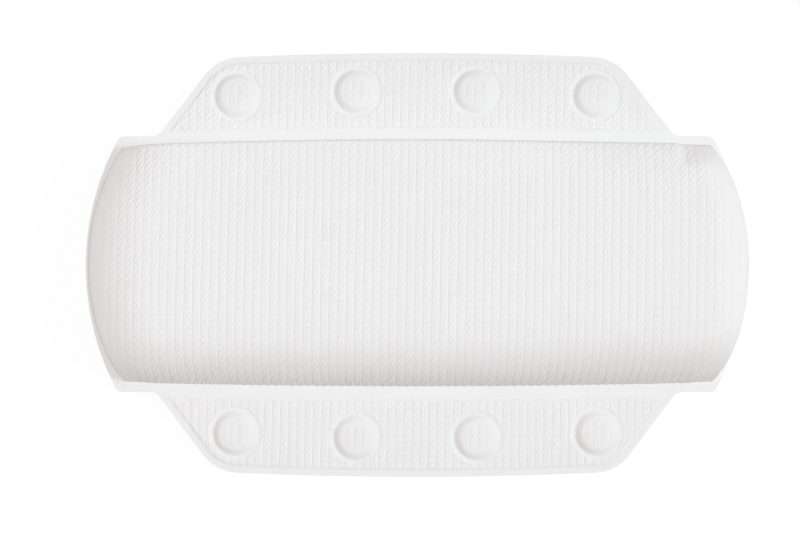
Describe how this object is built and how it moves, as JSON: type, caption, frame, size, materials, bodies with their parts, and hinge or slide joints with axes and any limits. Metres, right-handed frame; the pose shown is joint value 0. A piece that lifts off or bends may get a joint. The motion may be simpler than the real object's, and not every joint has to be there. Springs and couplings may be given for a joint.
{
  "type": "bath pillow",
  "caption": "Soft white vinyl bath pillow: a foam-filled, cord-embossed bolster with fold-down flaps that hold to a smooth bath wall by suction cups.",
  "frame": {"origin": "on the ground under the middle of the bolster, with the part lying on its back", "axes": "+Z out of the bather's side, +X along the bolster, +Y towards the upper flap"},
  "size_m": [0.33, 0.212, 0.048],
  "materials": {
    "embossed_vinyl": "satin",
    "back_film": "satin",
    "foam": "matte",
    "cup_vinyl": "gloss"
  },
  "bodies": {
    "bolster": {"bolster_front_cover": "embossed_vinyl", "bolster_back_cover": "back_film", "foam_core": "foam"},
    "upper_flap": {"upper_flap_front_cover": "embossed_vinyl", "upper_flap_back_cover": "back_film", "upper_suction_cup_1": "cup_vinyl", "upper_suction_cup_2": "cup_vinyl", "upper_suction_cup_3": "cup_vinyl", "upper_suction_cup_4": "cup_vinyl"},
    "lower_flap": {"lower_flap_front_cover": "embossed_vinyl", "lower_flap_back_cover": "back_film", "lower_suction_cup_1": "cup_vinyl", "lower_suction_cup_2": "cup_vinyl", "lower_suction_cup_3": "cup_vinyl", "lower_suction_cup_4": "cup_vinyl"}
  },
  "joints": [
    {"name": "upper_flap_fold", "type": "hinge", "parent": "bolster", "child": "upper_flap", "pos_m": [0, 0.0654, 0.01], "axis": [-1, 0, 0], "range_deg": [-90, 75], "stiffness_Nm_per_rad": 0.1},
    {"name": "lower_flap_fold", "type": "hinge", "parent": "bolster", "child": "lower_flap", "pos_m": [0, -0.0654, 0.01], "axis": [1, 0, 0], "range_deg": [-90, 75], "stiffness_Nm_per_rad": 0.1}
  ]
}
